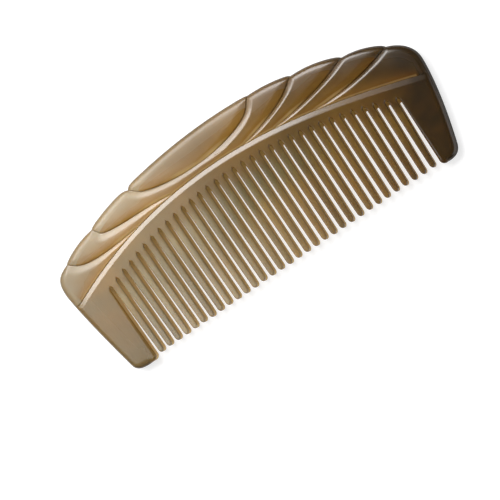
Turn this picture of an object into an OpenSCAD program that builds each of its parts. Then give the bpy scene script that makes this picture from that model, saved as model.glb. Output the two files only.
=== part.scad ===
// A one-piece comb with an arched spine, carved as the veins of a leaf.
// It lies on its flat back: X along the comb, Y from the tips up to the spine, Z out of the carved face.
// Its skin is one closed surface. Rings follow the whole rim, up and down each tooth, and the carved
// face is a grid whose columns run down the veins.

/* [Comb] */
// Length from side to side
comb_length = 160; // [140:1:180]
// Height from the guard tips to the crown of the spine
comb_height = 62.5; // [58:0.5:68]
// Thickness at the crown of the spine
spine_thickness = 6.6; // [5.6:0.1:7.4]
// Thickness at the tips of the teeth
tip_thickness = 4.8; // [4:0.1:5.2]
// Depth of the rounding of the rim, as a share of the thickness
rim_share = 0.3; // [0.24:0.01:0.34]

/* [Teeth] */
// Number of fine teeth between the two guard teeth
fine_teeth = 32; // [24:1:36]
// Width of a sawn gap at its root
gap_root = 1.15; // [0.8:0.05:1.4]
// Width of a sawn gap at the tips
gap_tip = 1.75; // [1.4:0.05:2]
// How far the fine teeth stop short of the guard teeth
tip_setback = 0.8; // [0.4:0.1:1.5]
// Width of the rounding along the edges of the teeth
tooth_edge = 0.5; // [0.3:0.05:0.6]
// Length of the point that is filed above each gap, on the carved face
filed_point = 1.7; // [0.8:0.1:1.9]
// How much shorter a gap is on the back, where the saw came through last
root_ramp = 1.4; // [0:0.1:2]

/* [Carving] */
// Depth of a vein at its notch in the spine
vein_depth = 0.95; // [0.5:0.05:1.2]
// Depth of a vein where it joins the mid rib
vein_end_depth = 0.35; // [0.2:0.05:0.5]
// Depth of the long groove of the mid rib
rib_depth = 0.6; // [0.3:0.05:0.9]
// Width of the steep upper wall of a groove
steep_wall = 0.55; // [0.4:0.05:0.8]
// Width of the gentle lower wall of a vein
vein_slope = 2.8; // [1.5:0.1:3.5]
// Width of the gentle lower wall of the mid rib
rib_slope = 1.7; // [1:0.1:2]

/* [Hidden] */

// The places below are drawn for a comb of this length and height, and follow the sizes above
drawn_length = 160;
drawn_height = 62.5;

// Notches in the spine and the veins that start there, from left to right
// [notch, first handle, second handle, place along the mid rib, rise of the leaf after it]
veins = [
    [[-73.1, 17.1], [-65.5, 11.2], [-51.5, 12.5], 0.232, 1.0],
    [[-57.4, 22.6], [-53.2, 16.8], [-33, 17.9], 0.345, 1.2],
    [[-37.3, 26.8], [-31.6, 21.4], [-19, 20.2], 0.445, 2.515],
    [[19.9, 29.9], [14.3, 22.3], [2.5, 20.3], 0.465, 0.8],
    [[37, 26.7], [29.2, 20.8], [19.5, 17.7], 0.56, 1.3],
    [[56.1, 21.5], [44.8, 17.3], [32.6, 15], 0.64, 1.3],
    [[71.5, 15.5], [60.8, 12.3], [49.4, 10.5], 0.74, 0],
];

// Leaves between the veins, from left to right. Beside a vein a leaf lies over it, with a steep wall,
// or under it, with a gentle one
// [left side, right side, plain columns between]
leaves = [
    ["rim", "under", 4],
    ["over", "under", 2],
    ["over", "under", 2],
    ["over", "over", 8],
    ["under", "over", 2],
    ["under", "over", 2],
    ["under", "over", 2],
    ["under", "rim", 4],
];
// How far the edge of each leaf stands up beside the notch on its left and on its right
leaf_steps = [[0, 0], [0.3, 0], [0.4, 1.4], [1.3, 0.3], [0, 0.5], [0, 0.5], [0, 0.5], [0, 0]];
over_step_width = 0.9;
under_step_width = 2.2;

// The mid rib, a cubic from the left edge to the right edge
mid_rib = [[-80.5, 0.2], [-23.9, 25.8], [24.3, 17.9], [80.5, -1.6]];
rib_from = 0.022;
rib_to = 0.978;

// Centre of the arch that the notches lie on
arch_centre = [-2, -154];

// Sides of the comb
// [x and y at the top, x and y at the bottom, how late it leans]
left_side = [[-80, 7.7], [-73.8, -28], 1.25];
right_side = [[80, 5.2], [73.5, -26.7], 1.5];

// Stretches of the rim, as cubics
left_shoulder = [[-80, 7.7], [-80, 13.5], [-78.5, 15.3], [-73.1, 17.1]];
right_shoulder = [[71.5, 15.5], [77, 13.4], [80, 9.8], [80, 5.2]];
left_guard_tip = [[-73.8, -28], [-73.2, -30.6], [-71, -31.25], [-67.4, -31.25]];
right_guard_tip = [[67.6, -31.25], [70.8, -31.25], [72.6, -30.2], [73.5, -26.7]];

// Roots of the gaps lie on an arch
root_crown = [-3.2, 10.9];
root_radius = 178;
first_root_x = -63.4;
last_root_x = 64.7;
// The teeth draw together a little towards their tips, which lie on a shallow curve
tip_spacing = 0.985;
tip_hollow = 0.6;
tip_rounding = 1.3;
guard_corner = 1.8;
guard_edge = 0.9;

gaps = fine_teeth + 1;
rim_angles = [0, 30, 60, 90];
leaf_rows = 8;
side_steps = 5;
// The rounding of the rim is this much wider than deep on the carved face
front_spread = 1.5;
// The gentle wall of a vein is bent: most of its depth is in this share of its width
hollow_share = 0.35;
hollow_depth = 0.42;
// No wall of a vein takes more than this share of a leaf's width
widest_wall = 0.34;
// Stations of the rim at each root and at each rounded tip
root_stations = 3;
tip_angles = [0, 45, 90, 135, 180];
station_step = root_stations + len(tip_angles);

function fit(p) = [p[0] * comb_length / drawn_length, p[1] * comb_height / drawn_height];
function fit_all(points) = [for (p = points) fit(p)];
function mix(a, b, t) = a * (1 - t) + b * t;
function unit(v) = v / norm(v);
function reversed(list) = [for (i = [len(list) - 1:-1:0]) list[i]];
function right_of(v) = [v[1], -v[0]];
function bezier(c, t) =
    pow(1 - t, 3) * c[0] + 3 * t * pow(1 - t, 2) * c[1] + 3 * t * t * (1 - t) * c[2] + pow(t, 3) * c[3];
function heading(c, t) = unit(bezier(c, t + 0.001) - bezier(c, t - 0.001));
function thickness(y) = mix(tip_thickness, spine_thickness, y / comb_height + 0.5);
function rounding(y) = rim_share * thickness(y);

// Mid rib: its crease, the top of its steep wall and the foot of its gentle one
rib = fit_all(mid_rib);
function rib_point(t, rise) = let (h = heading(rib, t)) bezier(rib, t) + rise * [-h[1], h[0]];
function rib_place(i) = i == 0 ? rib_from : i == len(leaves) ? rib_to : veins[i - 1][3];

// Veins and leaves. Vein i is the left side of leaf i, so 0 and 8 are the sides of the comb
centre = fit(arch_centre);
function notch(i) = fit(veins[i - 1][0]);
function vein_heading(i) = unit(fit(veins[i - 1][1]) - notch(i));
function slanted(p, n, d) = p + d / (d * n) * front_spread * rounding(p[1]);
function vein_curve(i) = [
    slanted(notch(i), unit(centre - notch(i)), vein_heading(i)),
    fit(veins[i - 1][1]),
    fit(veins[i - 1][2]),
    rib_point(rib_place(i), steep_wall)
];
last_leaf = len(leaves) - 1;
function side_point(side, y) =
    let (top = fit(side[0]), foot = fit(side[1]))
    [mix(top[0], foot[0], pow(max(0, (top[1] - y) / (top[1] - foot[1])), side[2])), y];
function inset_side(side, y) =
    side_point(side, y) - [sign(side[0][0]) * front_spread * rounding(y), 0];
// Height at which a line of the mid rib meets the rounding of a side
function rib_end_y(side, rise) =
    let (t = side == left_side ? rib_from : rib_to, p = rib_point(t, rise), h = heading(rib, t))
    p[1] + (inset_side(side, p[1])[0] - p[0]) * h[1] / h[0];
function side_y(side, v) = mix(rib_end_y(side, steep_wall), fit(side[0])[1], v);
function vein_point(i, v) =
    i == 0 ? inset_side(left_side, side_y(left_side, v))
    : i > last_leaf ? inset_side(right_side, side_y(right_side, v))
    : bezier(vein_curve(i), 1 - v);
function vein_along(i, v) =
    let (k = min(max(i, 1), last_leaf)) heading(vein_curve(k), min(0.99, max(0.01, 1 - v)));

// Columns of a leaf at height v, from its left vein to just before its right one
// [share of the way across, share of the vein's depth]
function wall(kind) =
    kind == "over" ? [[0, 1], [steep_wall, 0]]
    : kind == "under" ? [[0, 1], [hollow_share * vein_slope, hollow_depth], [vein_slope, 0]]
    : [[0, 0]];
function leaf_columns(i, v) =
    let (across = vein_point(i + 1, v) - vein_point(i, v),
        left = wall(leaves[i][0]),
        right = wall(leaves[i][1]),
        plain = leaves[i][2],
        left_width = abs(cross(across, vein_along(i, v))),
        right_width = abs(cross(across, vein_along(i + 1, v))),
        left_end = min(left[len(left) - 1][0] / left_width, widest_wall),
        right_end = min(right[len(right) - 1][0] / right_width, widest_wall),
        left_scale = left_end / max(left[len(left) - 1][0], 0.01),
        right_scale = right_end / max(right[len(right) - 1][0], 0.01))
    concat(
        [for (c = left) [c[0] * left_scale, c[1]]],
        [for (k = [1:plain]) [mix(left_end, 1 - right_end, k / (plain + 1)), 0]],
        [for (k = [len(right) - 1:-1:1]) [1 - right[k][0] * right_scale, right[k][1]]]
    );
function vein_sink(v) = mix(vein_end_depth, vein_depth, v);

// Rim of the comb, anticlockwise as seen on the carved face
// [place, inward normal, inward slant on the front, width of rounding on the front and back, sink,
//  how far the back lies below the front]
// Where the normal and the slant are undef they are square to the rim
function soft(p) = [p, undef, undef, front_spread * rounding(p[1]), rounding(p[1]), 0, 0];
function narrow(p, w, ramp = 0) = [p, undef, undef, w, w, 0, ramp];

half_height = comb_height / 2;
function gap_x(g) = fit([mix(first_root_x, last_root_x, g / (gaps - 1)), 0])[0];
function root_y(x) =
    let (along = x * drawn_length / comb_length - root_crown[0])
    fit([0, root_crown[1] - root_radius + sqrt(pow(root_radius, 2) - pow(along, 2))])[1];
function tip_y(x) = -half_height + tip_setback + tip_hollow * (1 - pow(2 * x / comb_length, 2));
tooth_half = ((gap_x(1) - gap_x(0)) * tip_spacing - gap_tip) / 2;
edge_width = min(tooth_edge, 0.5 * tooth_half);
function tooth_x(i) = (gap_x(i) + gap_x(i + 1)) / 2 * tip_spacing;

function gap_root_rim(g) =
    let (x = gap_x(g), r = gap_root / 2, top = root_y(x))
    [
        narrow([x - r, top - r], edge_width, root_ramp),
        [[x, top], undef, undef, filed_point, 2 * edge_width, 0, root_ramp],
        narrow([x + r, top - r], edge_width, root_ramp)
    ];
function tooth_tip_rim(i) =
    let (x = tooth_x(i))
    [for (a = tip_angles)
        narrow([x - tooth_half * cos(a), tip_y(x) + tip_rounding * (1 - sin(a))], edge_width)];
left_inner = tooth_x(0) - tooth_half - gap_tip;
right_inner = tooth_x(fine_teeth - 1) + tooth_half + gap_tip;
corner_width = min(0.92 * guard_corner, front_spread * rounding(-half_height));
function guard_corner_rim(x, side) = [
    for (a = [0:30:90])
        let (in = guard_corner * (1 - sin(a)), up = guard_corner * (1 - cos(a)))
        narrow([x - side * in, up - half_height], corner_width)
];
function foot(p) = [fit(p), undef, undef, corner_width, rounding(p[1]), 0, 0];
function guard_edge_rim(x, root_x) =
    [for (t = [0.33, 0.66])
        narrow(mix([x, -half_height + guard_corner], [root_x, root_y(root_x)], t), guard_edge)];
function tip_stretch(c, first) =
    [for (i = [first:side_steps - 1]) soft(bezier(fit_all(c), i / side_steps))];

// Sides: below the mid rib evenly, and above it one station for each row of the carved grid
function lower_side(side) =
    let (foot = fit(side[1])[1], top = rib_end_y(side, -rib_slope))
    [for (k = [0:side_steps - 1]) soft(side_point(side, mix(foot, top, k / side_steps)))];
function level(p, sink) =
    [p, undef, [-sign(p[0]), 0], front_spread * rounding(p[1]), rounding(p[1]), sink, 0];
function upper_side(side, sink) = concat(
    [level(side_point(side, rib_end_y(side, -rib_slope)), 0)],
    [level(side_point(side, rib_end_y(side, 0)), sink)],
    [for (r = [0:leaf_rows - 1]) level(side_point(side, side_y(side, r / leaf_rows)), 0)]
);

// Top: one station for each column of the carved grid, from left to right
function leaf_step(i, end, s, wide) =
    let (run = leaves[i][end] == "over" ? over_step_width : under_step_width)
    leaf_steps[i][end] * (1 - exp(-s * wide / run)) * pow(1 - s, 3);
function top_place(i, s) =
    i == 0 ? bezier(fit_all(left_shoulder), s)
    : i == last_leaf ? bezier(fit_all(right_shoulder), s)
    : let (a = notch(i), b = notch(i + 1), wide = norm(b - a), out = [a[1] - b[1], b[0] - a[0]] / wide,
        rise = 4 * veins[i - 1][4] * s * (1 - s) + leaf_step(i, 0, s, wide) + leaf_step(i, 1, 1 - s, wide))
        mix(a, b, s) + out * rise * comb_height / drawn_height;
function top_normal(i, s) =
    i == 0 ? right_of(heading(fit_all(left_shoulder), s))
    : i == last_leaf ? right_of(heading(fit_all(right_shoulder), s))
    : unit(centre - top_place(i, s));
function top_slant(i, s) =
    let (a = i == 0 ? [1, 0] : vein_heading(i), b = i == last_leaf ? [-1, 0] : vein_heading(i + 1))
    unit(mix(a, b, s));
top = concat(
    [for (i = [0:last_leaf]) each [for (c = leaf_columns(i, 1))
        let (p = top_place(i, c[0]))
        [p, top_normal(i, c[0]), top_slant(i, c[0]), front_spread * rounding(p[1]), rounding(p[1]),
            c[1] * vein_sink(1), 0]]],
    [soft(fit(right_shoulder[3]))]
);

rim_parts = [
    tip_stretch(left_guard_tip, 1),
    concat([foot(left_guard_tip[3])], guard_corner_rim(left_inner, 1),
        guard_edge_rim(left_inner, gap_x(0) - gap_root / 2)),
    [for (g = [0:gaps - 1]) each concat(gap_root_rim(g), g < fine_teeth ? tooth_tip_rim(g) : [])],
    concat(reversed(guard_edge_rim(right_inner, gap_x(gaps - 1) + gap_root / 2)),
        reversed(guard_corner_rim(right_inner, -1))),
    concat([foot(right_guard_tip[0])], tip_stretch(right_guard_tip, 1)),
    lower_side(right_side),
    upper_side(right_side, 0),
    reversed([for (k = [1:len(top) - 1]) top[k]]),
    [top[0]],
    reversed(upper_side(left_side, rib_depth)),
    reversed(lower_side(left_side))
];
rim = [for (part = rim_parts) each part];
count = len(rim);
function part_start(k) = k == 0 ? 0 : part_start(k - 1) + len(rim_parts[k - 1]);
function square_in(i) =
    -right_of(unit(rim[(i + 1) % count][0] - rim[(i + count - 1) % count][0]));

// One point of the skin: a rim station, at an angle round the rounded rim
function skin_point(i, angle, front) =
    let (s = rim[i],
        n = s[1] == undef ? square_in(i) : s[1],
        d = front && s[2] != undef ? s[2] : n,
        p = s[0] + d / (d * n) * (front ? s[3] : s[4]) * (1 - sin(angle)),
        drop = rounding(s[0][1]) * (1 - cos(angle)))
    front ? [p[0], p[1], thickness(p[1]) - max(drop, s[5])] : [p[0], p[1] - s[6], drop];

rings = concat(
    [for (a = rim_angles) [for (i = [0:count - 1]) skin_point(i, a, false)]],
    [for (a = reversed(rim_angles)) [for (i = [0:count - 1]) skin_point(i, a, true)]]
);
bands = len(rings) - 1;
front_start = bands * count;

// Carved grid: rows from the foot of the mid rib up to the top, columns from left to right
first_leaf_row = 2;
top_row = first_leaf_row + leaf_rows;
column_list = [for (i = [0:last_leaf]) for (k = [0:len(leaf_columns(i, 1)) - 1]) [i, k]];
columns = len(column_list);
function grid_point(c, r) =
    let (i = column_list[c][0], k = column_list[c][1],
        v = max(0, (r - first_leaf_row) / leaf_rows),
        here = leaf_columns(i, v)[k],
        low = leaf_columns(i, 0)[k][0],
        high = leaf_columns(i, 1)[k],
        t = mix(rib_place(i), rib_place(i + 1), low),
        top_index = part_start(8) - c)
    r == 0 ? lifted(rib_point(t, -rib_slope), 0)
    : r == 1 ? lifted(rib_point(t, 0), rib_depth)
    : let (plain = mix(vein_point(i, v), vein_point(i + 1, v), here[0]),
        at_rib = rib_point(t, steep_wall) - mix(vein_point(i, 0), vein_point(i + 1, 0), low),
        cap = skin_point(top_index, 0, true),
        at_top = [cap[0], cap[1]] - mix(vein_point(i, 1), vein_point(i + 1, 1), high[0]),
        p = plain + at_rib * pow(1 - v, 2) + at_top * pow(v, 2))
        lifted(p, here[1] * vein_sink(v));
function lifted(p, sink) = [p[0], p[1], thickness(p[1]) - sink];

grid = [for (r = [0:top_row - 1], c = [1:columns - 1]) grid_point(c, r)];
grid_start = len(rings) * count;
left_start = part_start(9);
right_start = part_start(6);
function grid_index(c, r) =
    r == top_row ? front_start + part_start(8) - c
    : c == 0 ? front_start + left_start + top_row - 1 - r
    : c == columns ? front_start + right_start + r
    : grid_start + r * (columns - 1) + c - 1;

// Triangles between two chains of points that run the same way, by the key of each point
function before(keys, value) = max([for (j = [0:len(keys) - 1]) if (j == 0 || keys[j] <= value) j]);
function zip(upper, upper_keys, lower, lower_keys) =
    let (n = len(upper), m = len(lower),
        k = [for (i = [0:n - 1]) i == 0 ? 0 : i == n - 1 ? m - 1 : before(lower_keys, upper_keys[i])])
    [for (f = concat(
            [for (i = [0:n - 2]) [upper[i], upper[i + 1], lower[k[i + 1]]]],
            [for (i = [0:n - 2]) for (j = [k[i]:1:k[i + 1] - 1]) [upper[i], lower[j + 1], lower[j]]]
        ))
        if (f[0] != f[1] && f[1] != f[2] && f[2] != f[0]) f];

points = concat([for (r = rings) each r], grid);
function keys(chain, axis, direction) = [for (i = chain) direction * points[i][axis]];
function chain(start, from, to) = [for (i = [from:to > from ? 1 : -1:to]) start + (i + count) % count];

// Flat parts of one face. The rim stations below are the same on the front and the back
gap_start = part_start(2);
function gap_station(g) = gap_start + g * station_step;
left_root = gap_station(0);
right_root = gap_station(gaps - 1) + root_stations - 1;
left_low = part_start(10) - 1;
right_low = right_start;
// The chain of filed points above the gaps, from side to side
function root_chain(start) = concat(
    [start + left_low],
    [for (g = [0:gaps - 1]) start + gap_station(g) + 1],
    [start + right_low]
);
function tooth_faces(start) = [
    for (i = [0:fine_teeth - 1])
        let (a = start + gap_station(i) + root_stations - 1, t = a + 1, b = start + gap_station(i + 1))
        each [
            [a - 1, b + 1, b], [a - 1, b, a],
            [a, b, t + 4], [a, t + 4, t], [t, t + 4, t + 3], [t, t + 3, t + 1], [t + 1, t + 3, t + 2]
        ]
];
function guard_faces(start) =
    let (left_outer = concat(chain(start, left_low, count - 1), chain(start, 0, part_start(1))),
        left_inside = chain(start, left_root, part_start(1)),
        right_outer = chain(start, right_low, part_start(4)),
        right_inside = chain(start, right_root, part_start(4)))
    concat(
        [[start + left_low, start + left_root + 1, start + left_root]],
        [[start + right_low, start + right_root, start + right_root - 1]],
        zip(reversed(left_outer), keys(reversed(left_outer), 1, 1),
            reversed(left_inside), keys(reversed(left_inside), 1, 1)),
        zip(right_outer, keys(right_outer, 1, -1), right_inside, keys(right_inside, 1, -1))
    );
function blade_faces(start, upper) =
    zip(upper, keys(upper, 0, 1), root_chain(start), keys(root_chain(start), 0, 1));
function turned(faces) = [for (f = faces) [f[2], f[1], f[0]]];

band_faces = [for (k = [0:bands - 1], i = [0:count - 1], half = [0, 1])
    let (a = k * count + i, b = k * count + (i + 1) % count)
    half == 0 ? [a, a + count, b + count] : [a, b + count, b]];
carved_faces = [for (r = [0:top_row - 1], c = [0:columns - 1], half = [0, 1])
    let (a = grid_index(c, r), b = grid_index(c + 1, r))
    let (d = grid_index(c, r + 1), e = grid_index(c + 1, r + 1))
    c < columns / 2 ? (half == 0 ? [a, d, e] : [a, e, b]) : (half == 0 ? [a, d, b] : [b, d, e])];
front_faces = concat(
    carved_faces,
    blade_faces(front_start, [for (c = [0:columns]) grid_index(c, 0)]),
    guard_faces(front_start),
    tooth_faces(front_start)
);
back_faces = concat(
    blade_faces(0, chain(0, left_low, right_low)),
    guard_faces(0),
    tooth_faces(0)
);

module comb() color("rosybrown") polyhedron(points, concat(band_faces, front_faces, turned(back_faces)));

comb();
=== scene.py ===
import math

import bmesh
import bpy
import numpy as np
from mathutils import Matrix, Vector
from mathutils.geometry import delaunay_2d_cdt


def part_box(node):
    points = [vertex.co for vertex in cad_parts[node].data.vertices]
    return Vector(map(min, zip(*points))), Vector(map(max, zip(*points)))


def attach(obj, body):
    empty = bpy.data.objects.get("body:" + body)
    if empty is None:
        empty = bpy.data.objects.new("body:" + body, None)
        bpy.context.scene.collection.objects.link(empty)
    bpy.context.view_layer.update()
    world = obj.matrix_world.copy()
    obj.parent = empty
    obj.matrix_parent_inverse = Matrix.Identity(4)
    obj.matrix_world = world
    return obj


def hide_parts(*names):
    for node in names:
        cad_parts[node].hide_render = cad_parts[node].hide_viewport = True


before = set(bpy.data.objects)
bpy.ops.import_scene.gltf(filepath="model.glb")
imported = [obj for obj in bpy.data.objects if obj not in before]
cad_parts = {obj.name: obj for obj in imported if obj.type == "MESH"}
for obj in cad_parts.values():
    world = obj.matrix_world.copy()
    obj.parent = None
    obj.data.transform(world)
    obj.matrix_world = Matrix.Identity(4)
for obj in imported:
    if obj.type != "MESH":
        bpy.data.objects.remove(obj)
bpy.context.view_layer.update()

mm = 0.001
print("frame loaded")


# Sizes of the blade, in millimetres, in the same frame as the solid part
blade = {
    "drawnLength": 160.0,
    "drawnHeight": 62.5,
    "spineThickness": 6.6,
    "tipThickness": 4.8,
    "rimShare": 0.3,         # depth of the rounded rim, as a share of the thickness
    "rimSpread": 1.6,        # how much wider than deep it is on the carved face
    "supportStep": 0.35,     # flat strip that follows each rounding, for clean shading
    "domeDepth": 0.35,       # the carved face falls away a little towards the rim
    "domeWidth": 8.0,
    "leftSide": [(-80, 7.7), (-73.8, -28), 1.25],
    "rightSide": [(80, 5.2), (73.5, -26.7), 1.5],
    "leftShoulder": [(-80, 7.7), (-80, 13.5), (-78.5, 15.3), (-73.1, 17.1)],
    "rightShoulder": [(71.5, 15.5), (77, 13.4), (80, 9.8), (80, 5.2)],
    "leftGuardTip": [(-73.8, -28), (-73.2, -30.6), (-71, -31.25), (-67.4, -31.25)],
    "rightGuardTip": [(67.6, -31.25), (70.8, -31.25), (72.6, -30.2), (73.5, -26.7)],
    "guardCorner": 1.8,
    "guardEdge": (1.2, 0.9),     # rounding of the edges on its inner side: width, depth
    "guardBackEdge": (0.8, 0.8),
    "archCentre": (-2, -154),
    "frontFill": (1.3, 0.45),    # in the flat parts: spacing of the points, distance from the edge
    "backFill": (3.0, 0.8),
}

# Veins from left to right: notch in the spine, two handles, place along the rib, rise of the leaf after it,
# width of the gentle wall at the rim and along the vein, and how soon it narrows
veins = [
    {"notch": (-73.1, 17.1), "handles": [(-65.5, 11.2), (-51.5, 12.5)], "place": 0.232, "rise": 1.0,
     "gentle": (3.8, 2.0), "narrowing": 1.5},
    {"notch": (-57.4, 22.6), "handles": [(-53.2, 16.8), (-33, 17.9)], "place": 0.345, "rise": 1.2,
     "gentle": (4.2, 2.0), "narrowing": 1.5},
    {"notch": (-37.3, 26.8), "handles": [(-31.6, 22), (-20.5, 19.5)], "place": 0.445, "rise": 2.515,
     "gentle": (3.2, 2.0), "narrowing": 1.5},
    {"notch": (19.9, 29.9), "handles": [(14, 22), (0.5, 19.5)], "place": 0.465, "rise": 0.8,
     "gentle": (2.2, 1.9), "narrowing": 2.5},
    {"notch": (37, 26.7), "handles": [(29.2, 20.8), (19.5, 17.7)], "place": 0.56, "rise": 1.3,
     "gentle": (2.0, 1.25), "narrowing": 3.0},
    {"notch": (56.1, 21.5), "handles": [(44.8, 17.3), (32.6, 15)], "place": 0.64, "rise": 1.3,
     "gentle": (1.9, 1.2), "narrowing": 3.0},
    {"notch": (71.5, 15.5), "handles": [(60.8, 12.3), (49.4, 10.5)], "place": 0.74, "rise": 0.0,
     "gentle": (1.8, 1.2), "narrowing": 3.0},
]

# How each leaf meets the veins on its left and right, and its plain columns
leaves = [
    ("rim", "under", 16),
    ("over", "under", 14),
    ("over", "under", 16),
    ("over", "over", 56),
    ("under", "over", 14),
    ("under", "over", 14),
    ("under", "over", 14),
    ("under", "rim", 18),
]

# How far the edge of each leaf stands up beside its left and right notch, and over which width
leafSteps = {
    "heights": [(0, 0), (0.3, 0), (0.4, 1.4), (1.3, 0.3), (0, 0.5), (0, 0.5), (0, 0.5), (0, 0)],
    "width": {"over": 0.9, "under": 2.2, "rim": 1.0},
}

# The two veins beside the middle leaf run into one another below it, above the rib
loop = {
    "veins": (3, 4),
    "lowest": (-8.9, 19.5),
    "joint": 0.94,           # share of each vein after which the grid leaves it for the rib
    "stem": 0.12,            # share of the rows of the grid that lie below the loop
    "hollowBlend": 8.0,      # the walls change from hollow to plain this far to either side of it
}

carving = {
    "notchDepth": 1.0,       # depth of a vein at the rim
    "endDepth": 0.42,        # and where it meets the rib
    "steepWidth": 0.36,      # steep wall under the edge of a leaf that lies over
    "steepShare": 0.5,       # share of the depth that it takes
    "rollWidth": 3.4,        # the leaf rolls down to that wall over this width
    "rollAtRib": 0.6,        # share of it that is left at the rib
    "gentleAtRib": 0.75,     # and of the gentle wall
    "hollow": (1.0, 0.3),    # how hollow the gentle walls are left and right of the middle leaf
    "rib": [(-80.5, 0.2), (-23.9, 25.8), (24.3, 17.9), (80.5, -1.6)],
    "ribFrom": 0.022,
    "ribTo": 0.978,
    "ribDepth": (0.56, 0.34),    # at the left and right ends
    "ribWidth": (1.6, 2.0),
    "ribRoll": (3.2, 1.8),
    "leafRows": 64,
}

# The fine teeth and the gaps between them
teeth = {
    "count": 32,
    "firstRoot": -63.4,
    "lastRoot": 64.7,
    "crown": (-3.2, 10.9),
    "archRadius": 178.0,
    "rootRamp": 1.4,         # how far the root of a gap slopes down to the back
    "gapRoot": 1.15,
    "gapTip": 1.75,
    "rootSteps": 7,          # points on half of the round root of a gap
    "tipSpacing": 0.985,
    "tipSetback": 0.8,
    "tipHollow": 0.6,
    "tipRounding": 1.5,
    "nominalLength": 36.0,
    "rootZone": 2.0,
    "tipZone": 3.0,
    "lineAbove": 2.2,        # height above the roots of the line where blade and teeth join
    "lineSteps": 8,
    "filedPoint": 1.1,       # length and depth of the point filed above each gap
    "filedDepth": 0.6,
    "filedBack": 0.7,        # width of the rounding behind it
    "supportStep": 0.15,
    "edge": (0.5, 0.75),     # rounding of the edges on the carved face: width, depth
    "backEdge": (0.4, 0.5),
    "tipEdge": (0.62, 0.95),
    "tipBackEdge": (0.55, 0.7),
    "fill": (0.8, 0.3),      # as for the flat parts of the blade
    "crownDrop": 0.05,       # each tooth face is very slightly domed
    "edgeHighlight": 0.85,
    "drift": (0.05, 0.16),   # hand-made unevenness of the tips, sideways and lengthways
    "seed": 7,
}


def mix(a, b, t):
    return a * (1 - t) + b * t


# Widths and depths of a rounding, between two of them
def mixEdge(a, b, t):
    return mix(a[0], b[0], t), mix(a[1], b[1], t)


def unit(v):
    v = np.asarray(v, float)
    return v / np.linalg.norm(v, axis=-1, keepdims=True)


boxLow, boxHigh = (np.array(corner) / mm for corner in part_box("comb"))
length = boxHigh[0] - boxLow[0]
height = boxHigh[1] - boxLow[1]
stretch = np.array([length / blade["drawnLength"], height / blade["drawnHeight"]])


def fit(points):
    return np.asarray(points, float) * stretch


def thickness(y):
    return mix(blade["tipThickness"], blade["spineThickness"], y / height + 0.5)


def rounding(y):
    return blade["rimShare"] * thickness(y)


def bezier(curve, t):
    t = np.asarray(t, float)[..., None]
    a, b, c, d = (np.asarray(p, float) for p in curve)
    return (1 - t) ** 3 * a + 3 * t * (1 - t) ** 2 * b + 3 * t * t * (1 - t) * c + t ** 3 * d


def heading(curve, t):
    t = np.asarray(t, float)
    return unit(bezier(curve, t + 0.001) - bezier(curve, t - 0.001))


# The rib and the veins as curves
ribCurve = fit(carving["rib"])
archCentre = fit(blade["archCentre"])
leafCount = len(leaves)
lastLeaf = leafCount - 1
middleLeaf = 3
belowRib = -1            # stands in for a leaf on the part below the rib
rimReach = blade["rimSpread"]
bladeSupport = blade["supportStep"]
toothSupport = teeth["supportStep"]


def ribPoint(t, rise):
    h = heading(ribCurve, t)
    return bezier(ribCurve, t) + np.asarray(rise, float)[..., None] * np.stack([-h[..., 1], h[..., 0]], -1)


def ribPlace(i):
    if i == 0:
        return carving["ribFrom"]
    return carving["ribTo"] if i == leafCount else veins[i - 1]["place"]


def notch(i):
    return fit(veins[i - 1]["notch"])


def veinHeading(i):
    return unit(fit(veins[i - 1]["handles"][0]) - notch(i))


# The veins on both sides of leaf i, and how the leaf meets them
def sidesOf(i):
    return (i, leaves[i][0]), (i + 1, leaves[i][1])


# For the two veins of the loop this is the vein down to its lowest point
def veinCurve(i):
    start = notch(i)
    inward = unit(archCentre - start)
    along = veinHeading(i)
    reach = (rimReach * rounding(start[1]) + bladeSupport) / (along @ inward)
    handles = [fit(p) for p in veins[i - 1]["handles"]]
    end = fit(loop["lowest"]) if i in loop["veins"] else ribPoint(ribPlace(i), carving["steepWidth"])
    return [start + along * reach, *handles, end]


veinCurves = {i: veinCurve(i) for i in range(1, leafCount)}


# Side of a leaf along vein i, from the rib at 0 to the rim at 1
def leafSide(i, v):
    if i not in loop["veins"]:
        return bezier(veinCurves[i], 1 - v)
    above = 1 - loop["stem"]
    if v >= loop["stem"]:
        return bezier(veinCurves[i], (1 - v) / above * loop["joint"])
    foot = ribPoint(ribPlace(i), carving["steepWidth"])
    return mix(foot, bezier(veinCurves[i], loop["joint"]), v / loop["stem"])


def sideHeading(i, v):
    v = min(0.99, max(0.01, v))
    return unit(leafSide(i, v - 0.001) - leafSide(i, v + 0.001))


def sidePoint(side, y):
    (topX, topY), (footX, footY) = fit(side[0]), fit(side[1])
    y = np.asarray(y, float)
    share = np.clip((topY - y) / (topY - footY), 0, None) ** side[2]
    return np.stack([mix(topX, footX, share), y], -1)


def insetSide(side, y):
    p = sidePoint(side, y)
    inward = -math.copysign(1, side[0][0]) * (rimReach * rounding(p[..., 1]) + bladeSupport)
    return p + np.stack([inward, np.zeros_like(inward)], -1)


def ribEndPlace(side):
    return carving["ribFrom"] if side is blade["leftSide"] else carving["ribTo"]


def ribEndY(side, rise):
    t = ribEndPlace(side)
    p, h = ribPoint(t, rise), heading(ribCurve, t)
    return p[1] + (insetSide(side, p[1])[0] - p[0]) * h[1] / h[0]


def sideY(side, v):
    return mix(ribEndY(side, carving["steepWidth"]), fit(side[0])[1], v)


def veinPoint(i, v):
    if i == 0:
        return insetSide(blade["leftSide"], sideY(blade["leftSide"], v))
    if i > lastLeaf:
        return insetSide(blade["rightSide"], sideY(blade["rightSide"], v))
    return leafSide(i, v)


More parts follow.
